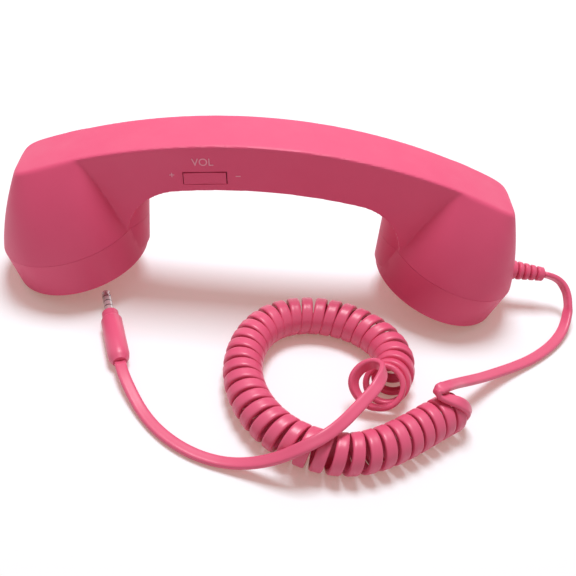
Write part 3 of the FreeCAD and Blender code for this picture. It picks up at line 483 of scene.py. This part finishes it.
def relaxed(normals, tangents, held):
    """Normals that turn evenly between the held ones, square to the line."""
    result = normals.copy()
    for _ in range(turning_rounds):
        middle = result.copy()
        middle[1:-1] = result[:-2] + result[2:]
        middle -= tangents * (middle * tangents).sum(1)[:, None]
        middle = unit(middle)
        result = np.where(held[:, None], result, middle)
    return result


def make_relief():
    """Ribbed sleeve at the cup, with rounded grooves, and its neck and flange inside."""
    step = relief_length / relief_ribs
    profile = list(relief_inner)
    for z in np.linspace(-relief_seat, relief_length - relief_edge[1], relief_rows):
        radius = relief_radii[0] + (relief_radii[1] - relief_radii[0]) * max(z, 0) / relief_length
        for index in range(1, relief_ribs):
            away = abs(z - (index * step - relief_groove_back))
            for half, depth in relief_grooves:
                radius -= depth * float(ease((1 - away / half) * relief_groove_flank))
        profile.append((radius, z))
    profile.append((relief_radii[1] - relief_edge[0], relief_length))
    angles = [2 * math.pi * k / relief_around for k in range(relief_around)]
    rings = [[(r * math.cos(a) * MM, r * math.sin(a) * MM, z * MM) for a in angles] for r, z in profile]
    piece = closed_tube("strain_relief_skin", rings)
    turn = Matrix.Rotation(math.radians(90 + relief_tilt), 4, "Y")
    piece.data.transform(Matrix.Translation(Vector(relief_root) * MM) @ turn)
    coat(piece, "cord")
    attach(piece, "handset")
    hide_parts("strain_relief")
    return piece


def make_cord(relief):
    """The flat cord in one piece from the relief to the plug. Places along it count control points."""
    curls, curl_centres = coil_points()
    before = [relief_end] + list(lead_route) + list(fold_points)
    after = list(last_loop_points) + list(tail_route) + [plug_rear]
    control = np.vstack([before, curls, after])
    line = spline_points(control, line_resolution)
    at = np.linspace(0, len(control) - 2, len(line)) + 0.5
    tangents = unit(np.gradient(line, axis=0))
    start, end = len(before), len(before) + len(curls)
    in_coil = (at > start + coil_margins[0]) & (at < end - coil_margins[1])
    centres = np.column_stack([np.interp(at, np.arange(start, end), curl_centres[:, i]) for i in range(3)])
    # The cord lies flat, but faces outwards where it bends, and the viewer where it leaves the coil
    normals = np.tile([0.0, 0.0, 1.0], (len(line), 1))
    fold = len(lead_route) + fold_offset
    leaving = (at > end + leaving_span[0]) & (at < end + leaving_span[1])
    normals[leaving] = towards_viewer
    normals[in_coil] = (line - centres)[in_coil]
    bend = -np.gradient(tangents, axis=0)
    looped = (at > fold - fold_margins[0]) & (at <= start + coil_margins[0])
    looped |= (at >= end - coil_margins[1]) & (at < end + loop_end)
    normals[looped] = unit(bend)[looped]
    normals[at < fold + flip_margin] *= -1
    first_bend = at < first_bend_end
    normals[first_bend] = unit(bend)[first_bend]
    normals -= tangents * (normals * tangents).sum(1)[:, None]
    normals = unit(normals)
    lead_flat = (at > lead_flat_start) & (at < fold + fold_margins[1])
    tail_flat = at > end + len(last_loop_points) + tail_offset
    held = in_coil | first_bend | lead_flat | leaving | tail_flat
    away = (np.abs(at - start) > free_near_coil[0]) & (np.abs(at - end) > free_near_coil[1])
    held |= looped & (at > fold + fold_held_from) & away
    normals = relaxed(normals, tangents, held)
    widths = np.cross(tangents, normals)
    section = cord_section()
    rings = [[(place + width * across + normal * through) * MM for across, through in section]
             for place, width, normal in zip(line, widths, normals)]
    piece = closed_tube("flat_cord", rings)
    piece.data.materials.append(MATERIALS["cord"])
    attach(piece, "handset")
    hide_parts("cord_lead_handset", "cord_curls", "cord_lead_plug")


make_cord(make_relief())


# Body

def rounded_and(a, b, radius):
    """Inside both, with a round edge."""
    u = np.maximum(a + radius, 0)
    v = np.maximum(b + radius, 0)
    return np.minimum(-radius, np.maximum(a, b)) + np.hypot(u, v)


def rounded_or(a, b, radius):
    """Inside either, with a round valley."""
    u = np.maximum(radius - a, 0)
    v = np.maximum(radius - b, 0)
    return np.maximum(radius, np.minimum(a, b)) - np.hypot(u, v)


def arch_corner():
    """Centre of the arc between the underside and the cup."""
    lean = math.radians(cup_tilt)
    foot_reach = math.sqrt(rim_radius ** 2 - grip_half_width ** 2)
    foot = (rim_centre[0] - foot_reach * math.cos(lean), rim_centre[1] + foot_reach * math.sin(lean))
    span = Vector((foot[0], foot[1] - arc_centre_z))
    reach = top_radius - grip_thickness - arch_radius
    along = (reach ** 2 - arch_radius ** 2 + span.length ** 2) / (2 * span.length)
    across = math.sqrt(reach ** 2 - along ** 2)
    step = span.normalized()
    return step.x * along - step.y * across, arc_centre_z + step.y * along + step.x * across


def flare_sections():
    """Rows of centre x, centre z, tilt, half length, half width, power, from the rim to the top."""
    heights = [arc_centre_z + math.sqrt(top_radius ** 2 - x * x) for x in flare_top_ends]
    dx = flare_top_ends[1] - flare_top_ends[0]
    dz = heights[1] - heights[0]
    chord = math.hypot(dx, dz)
    middle_x = sum(flare_top_ends) / 2 - dz / chord * flare_overrun
    middle_z = sum(heights) / 2 + dx / chord * flare_overrun
    tilt = math.degrees(math.atan2(-dz, dx))
    half_length = chord / 2 - flare_overrun * flare_slope_end
    half_width = grip_half_width - flare_overrun * flare_slope_side
    top = (middle_x, middle_z, tilt, half_length, half_width, flare_top_power)
    return (rim_centre + (cup_tilt, rim_radius, rim_radius, 2.0), flare_mid, top)


def handle_field(x, y, z):
    """Below zero inside the handle, its arch and the cups' inner walls, however high."""
    corner_x, corner_z = arch_corner()
    under_middle = top_radius - grip_thickness - np.hypot(x, z - arc_centre_z)
    from_corner = arch_radius - np.hypot(x - corner_x, z - corner_z)
    slope = np.arctan2(corner_x, corner_z - arc_centre_z)
    beyond = np.arctan2(x, z - arc_centre_z) > slope
    near_corner = beyond & (x > corner_x * corner_share)
    under = np.where(near_corner, from_corner, np.minimum(under_middle, arch_radius))
    under = np.where((z < corner_z) & (x <= corner_x), arch_radius, under)
    handle = rounded_and(y - grip_half_width, under, under_edge_round)
    handle = np.maximum(handle, x - handle_end)
    inner_wall = np.maximum(np.hypot(x - inner_wall_x, y) - inner_wall_radius, z - inner_wall_top)
    return rounded_or(handle, inner_wall, crease_round)


def flare_field(x, y, z):
    """Below zero inside a cup's flare, whose sections change along it by a curve through three rows."""
    sections = flare_sections()
    first = math.dist(sections[0][:2], sections[1][:2])
    last = math.dist(sections[1][:2], sections[2][:2])
    middle = first / (first + last)
    height = z - sections[0][1] + (x - sections[0][0]) * flare_shear
    share = np.clip(height / (sections[2][1] - sections[0][1]), *flare_limits)
    for _ in range(field_passes):
        weights = ((share - middle) * (share - 1) / middle,
                   share * (share - 1) / (middle * (middle - 1)),
                   share * (share - middle) / (1 - middle))
        centre_x, centre_z, tilt = (sum(w * row[i] for w, row in zip(weights, sections)) for i in range(3))
        lean = np.radians(tilt)
        off = (x - centre_x) * np.sin(lean) + (z - centre_z) * np.cos(lean)
        share = np.clip(share + off / (first + last), *flare_limits)
    along = (x - centre_x) * np.cos(lean) - (z - centre_z) * np.sin(lean)
    angle = np.arctan2(y, along)
    c, s = np.abs(np.cos(angle)), np.abs(np.sin(angle))
    outline = 0
    for weight, (_, _, _, half_length, half_width, power) in zip(weights, sections):
        rim = ((c / half_length) ** power + (s / half_width) ** power) ** (-1 / power)
        outline = outline + weight * rim
    return (np.hypot(along, y) - outline) * flare_softness


def handset_field(p):
    """Below zero inside the handset's outer form."""
    x, y, z = np.abs(p[..., 0]), np.abs(p[..., 1]), p[..., 2]
    top = np.hypot(x, z - arc_centre_z) - top_radius
    both = rounded_or(handle_field(x, y, z), flare_field(x, y, z), crease_round)
    return rounded_and(both, top, top_edge_round)


def field_mesh(field, low, high, step):
    """Even quads on the zero surface of a field, moved exactly onto it."""
    axes = [np.arange(a, b + step, step) for a, b in zip(low, high)]
    grid = np.stack(np.meshgrid(*axes, indexing="ij"), -1)
    values = field(grid)
    inside = values < 0
    shape = np.array(values.shape) - 1
    total = np.zeros(tuple(shape) + (3,))
    number = np.zeros(tuple(shape))
    corners = [(i, j, k) for i in (0, 1) for j in (0, 1) for k in (0, 1)]

    def part(array, corner):
        return array[tuple(slice(low, low + size) for low, size in zip(corner, shape))]

    for a in corners:
        for axis in range(3):
            if a[axis]:
                continue
            b = tuple(1 if i == axis else a[i] for i in range(3))
            fa, fb = part(values, a), part(values, b)
            crossed = part(inside, a) != part(inside, b)
            share = np.where(crossed, fa / np.where(crossed, fa - fb, 1), 0)
            for i in range(3):
                total[..., i] += np.where(crossed, a[i] + (share if i == axis else 0), 0)
            number += crossed
    used = number > 0
    names = -np.ones(tuple(shape), int)
    names[used] = np.arange(used.sum())
    cells = np.argwhere(used)
    points = np.array([a[0] for a in axes]) + (cells + total[used] / number[used][:, None]) * step
    faces = []
    for axis in range(3):
        b, c = (axis + 1) % 3, (axis + 2) % 3
        first = tuple(slice(0, -1) if i == axis else slice(1, -1) for i in range(3))
        second = tuple(slice(1, None) if i == axis else slice(1, -1) for i in range(3))
        lo, hi = inside[first], inside[second]
        found = np.argwhere(lo != hi)
        out = lo[tuple(found.T)]
        base = found + [0 if i == axis else 1 for i in range(3)]
        quad = []
        for db, dc in ((0, 0), (1, 0), (1, 1), (0, 1)):
            cell = base.copy()
            cell[:, b] -= 1 - db
            cell[:, c] -= 1 - dc
            quad.append(names[tuple(cell.T)])
        quad = np.array(quad).T
        quad[~out] = quad[~out][:, ::-1]
        faces.append(quad)
    faces = np.vstack(faces)
    for _ in range(field_passes):
        slopes = []
        for i in range(3):
            shift = np.zeros(3)
            shift[i] = slope_step
            slopes.append((field(points + shift) - field(points - shift)) / (2 * slope_step))
        slope = np.array(slopes).T
        size = np.maximum((slope ** 2).sum(1), smallest_slope)
        move = slope * (field(points) / size)[:, None]
        length = np.linalg.norm(move, axis=1, keepdims=True)
        points = points - move * np.minimum(1, 0.5 * step / np.maximum(length, 1e-9))
    return points, faces


def cut_mesh(piece, where, facing, mask=None):
    """Cuts a mesh by a plane and deletes what lies on the facing side."""
    bm = bmesh.new()
    bm.from_mesh(piece.data)
    faces = [f for f in bm.faces if mask is None or mask(f.calc_center_median())]
    edges = {e for f in faces for e in f.edges}
    verts = {v for f in faces for v in f.verts}
    bmesh.ops.bisect_plane(bm, geom=list(verts) + list(edges) + faces, plane_co=where, plane_no=facing,
                           clear_outer=True, dist=1e-7)
    bmesh.ops.delete(bm, geom=[v for v in bm.verts if not v.link_faces], context="VERTS")
    bm.to_mesh(piece.data)
    bm.free()


def unrolled(piece, back=False):
    """Bends the handle's arc straight, so that the seam between the shells is a plane, or bends it back."""
    count = len(piece.data.vertices)
    co = np.empty(count * 3)
    piece.data.vertices.foreach_get("co", co)
    co = co.reshape(-1, 3)
    centre_z = arc_centre_z * MM
    if back:
        angle = co[:, 0] / (top_radius * MM)
        reach = co[:, 2].copy()
        co[:, 0] = reach * np.sin(angle)
        co[:, 2] = centre_z + reach * np.cos(angle)
    else:
        reach = np.hypot(co[:, 0], co[:, 2] - centre_z)
        co[:, 0] = np.arctan2(co[:, 0], co[:, 2] - centre_z) * top_radius * MM
        co[:, 2] = reach
    piece.data.vertices.foreach_set("co", co.ravel())
    piece.data.update()


def cutter(name, outline, place, along, low, high):
    """Closed prism of an outline, in a frame of three directions."""
    across, up = along
    through = across.cross(up)
    rings = [[(place + across * u + up * v + through * depth) * MM for u, v in outline]
             for depth in (low, high)]
    return closed_tube(name, rings, smooth=False)


def apply_all(piece):
    """Makes a piece's modifiers real."""
    bpy.context.view_layer.update()
    evaluated = piece.evaluated_get(bpy.context.evaluated_depsgraph_get())
    mesh = bpy.data.meshes.new_from_object(evaluated)
    piece.modifiers.clear()
    old = piece.data
    piece.data = mesh
    bpy.data.meshes.remove(old)


def rounded_box(width, height, radius, steps=6):
    """Outline of a rectangle with round corners."""
    outline = []
    for cx, cy, start in ((1, 1, 0), (-1, 1, 90), (-1, -1, 180), (1, -1, 270)):
        for k in range(steps + 1):
            angle = math.radians(start + 90 * k / steps)
            outline.append((cx * (width / 2 - radius) + radius * math.cos(angle),
                            cy * (height / 2 - radius) + radius * math.sin(angle)))
    return outline


def shell_skin(name, points, faces, above):
    """One shell's part of the form, above or below the seam and open at the cups' rims."""
    piece = mesh_object(name, points * MM, faces)
    lean = math.radians(cup_tilt)
    for side in (-1, 1):
        where = Vector((side * rim_centre[0], 0, rim_centre[1])) * MM
        facing = Vector((-side * math.sin(lean), 0, -math.cos(lean)))
        cut_mesh(piece, where, facing, lambda c, s=side: c.x * s > 0)
    unrolled(piece)
    seam = Vector((0, 0, top_radius - seam_depth)) * MM
    cut_mesh(piece, seam, Vector((0, 0, -1 if above else 1)))
    unrolled(piece, back=True)
    thick = piece.modifiers.new("wall", "SOLIDIFY")
    thick.thickness = wall * MM
    thick.offset = -1
    apply_all(piece)
    return piece


def cut_openings(piece):
    """Cuts the rocker's slot in the side and the answer button's hole in the underside."""
    angle = math.radians(rocker_angle)
    reach = top_radius - rocker_below_top
    place = Vector((reach * math.sin(angle), -grip_half_width, arc_centre_z + reach * math.cos(angle)))
    along = Vector((math.cos(angle), 0, -math.sin(angle)))
    up = Vector((math.sin(angle), 0, math.cos(angle)))
    slot = cutter("slot_cutter", rounded_box(*rocker_slot, rocker_corner), place, (along, up), *slot_reach)
    under = Vector((0, 0, arc_centre_z + top_radius - grip_thickness))
    hole = cutter("hole_cutter", rounded_box(*button_opening, button_corner), under,
                  (Vector((1, 0, 0)), Vector((0, 1, 0))), *button_reach)
    for tool in (slot, hole):
        cut = piece.modifiers.new("cut", "BOOLEAN")
        cut.operation = "DIFFERENCE"
        cut.object = tool
        cut.solver = "EXACT"
    apply_all(piece)
    for tool in (slot, hole):
        bpy.data.objects.remove(tool)


def make_body():
    """The two shells' outer skins, from one form."""
    points, faces = field_mesh(handset_field, *field_box, field_step)
    top = shell_skin("top_cover_skin", points, faces, above=True)
    lower = shell_skin("lower_shell_skin", points, faces, above=False)
    cut_openings(lower)
    for piece, node, slot_name in ((top, "top_cover", "body_top"), (lower, "lower_shell", "body_side")):
        coat(piece, slot_name)
        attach(piece, "handset")
        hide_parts(node)


make_body()


# Raised marks

def make_mark(name, words, x, z, width, height, weight):
    """Small raised letters on the handle's side, which follow the slope of the rocker."""
    # Only the letters' shape comes from the font: their size is set below
    curve = bpy.data.curves.new(name, "FONT")
    curve.body = words
    curve.align_x = "CENTER"
    curve.align_y = "CENTER"
    curve.resolution_u = 6
    curve.offset = weight
    curve.extrude = 0.1
    holder = bpy.data.objects.new(name, curve)
    mesh = bpy.data.meshes.new_from_object(holder)
    bpy.data.objects.remove(holder)
    bpy.data.curves.remove(curve)
    corners = np.array([v.co[:] for v in mesh.vertices])
    low, high = corners.min(0), corners.max(0)
    lean = math.radians(rocker_angle)
    along = np.array([math.cos(lean), 0, -math.sin(lean)])
    up = np.array([math.sin(lean), 0, math.cos(lean)])
    flat = (corners - (low + high) / 2) / (high - low)
    place = np.array([x, -grip_half_width, z])
    points = place + np.outer(flat[:, 0] * width, along) + np.outer(flat[:, 1] * height, up)
    points[:, 1] -= flat[:, 2] * 2 * mark_rise
    for vertex, point in zip(mesh.vertices, points):
        vertex.co = point * MM
    piece = bpy.data.objects.new(name, mesh)
    bpy.context.scene.collection.objects.link(piece)
    mesh.materials.clear()
    mesh.materials.append(MARK)
    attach(piece, "handset")


MARK = moulded("raised_mark", "f7aec1", "f3a8bc", 0.45)
for mark in marks:
    make_mark(*mark)


# CAD nodes that stay: smooth shading and materials

SLOT_OF = {row["node"]: row["material_slot"] for row in frame["record"]["subparts"]}
for node_name, node in NODES.items():
    coat(node, SLOT_OF[node_name])


# Floor, world and lights

def either(nodes, links, *values):
    """The largest of some values, such as the kinds of ray that see the background as white."""
    found = values[0]
    for value in values[1:]:
        larger = nodes.new("ShaderNodeMath")
        larger.operation = "MAXIMUM"
        links.new(found, larger.inputs[0])
        links.new(value, larger.inputs[1])
        found = larger.outputs[0]
    return found


def make_floor():
    """A floor that keeps the shadow and goes to plain white far from the object. Near the object it glows
    warm for the camera: painted bounce light from the pink handset that tints the shadow.
    """
    made, nodes, links, shader = material("paper_floor")
    shader.inputs["Roughness"].default_value = 0.9
    shader.inputs["Specular IOR Level"].default_value = 0.1
    path = nodes.new("ShaderNodeLightPath")
    seen = either(nodes, links, path.outputs["Is Camera Ray"], path.outputs["Is Glossy Ray"])
    lit = nodes.new("ShaderNodeMath")
    lit.operation = "MULTIPLY"
    links.new(seen, lit.inputs[0])
    distance = nodes.new("ShaderNodeVectorMath")
    distance.operation = "LENGTH"
    links.new(nodes.new("ShaderNodeTexCoord").outputs["Object"], distance.inputs[0])
    far = spread(nodes, links, distance.outputs["Value"], 0, 1, *shade_reach)
    links.new(spread(nodes, links, far, glow_strength, 1.0, 0, 1), lit.inputs[1])
    links.new(mixed(nodes, links, seen, floor_lit, floor_seen), shader.inputs["Base Color"])
    # Painted bounce light: a warm glow near the object tints the floor's shadow pink.
    links.new(mixed(nodes, links, far, painted_bounce_tint, white), shader.inputs["Emission Color"])
    links.new(lit.outputs[0], shader.inputs["Emission Strength"])
    half = floor_half
    floor = mesh_object("floor", [(-half, -half, 0), (half, -half, 0), (half, half, 0), (-half, half, 0)],
                        [(0, 1, 2, 3)], smooth=False)
    floor.data.materials.append(made)


def make_world():
    """White where the camera sees it, softer and warmer where it lights the object."""
    world = bpy.data.worlds.new("world")
    world.use_nodes = True
    bpy.context.scene.world = world
    nodes, links = world.node_tree.nodes, world.node_tree.links
    background = nodes["Background"]
    path = nodes.new("ShaderNodeLightPath")
    rays = [path.outputs[kind] for kind in ("Is Camera Ray", "Is Glossy Ray", "Is Transmission Ray")]
    seen = either(nodes, links, *rays)
    links.new(mixed(nodes, links, seen, sky_tint, white), background.inputs["Color"])
    links.new(spread(nodes, links, seen, sky_strength, 1.0, 0, 1), background.inputs["Strength"])


def make_lamp():
    """One wide lamp above the object."""
    data = bpy.data.lights.new("key", "AREA")
    data.energy = lamp_power
    data.size = lamp_width
    data.color = lamp_colour
    lamp = bpy.data.objects.new("key", data)
    lamp.location = lamp_place
    lamp.rotation_mode = "QUATERNION"
    lamp.rotation_quaternion = (-Vector(lamp_place)).to_track_quat("-Z", "Y")
    bpy.context.scene.collection.objects.link(lamp)


make_floor()
make_world()
make_lamp()
bpy.context.scene.view_settings.view_transform = "Standard"
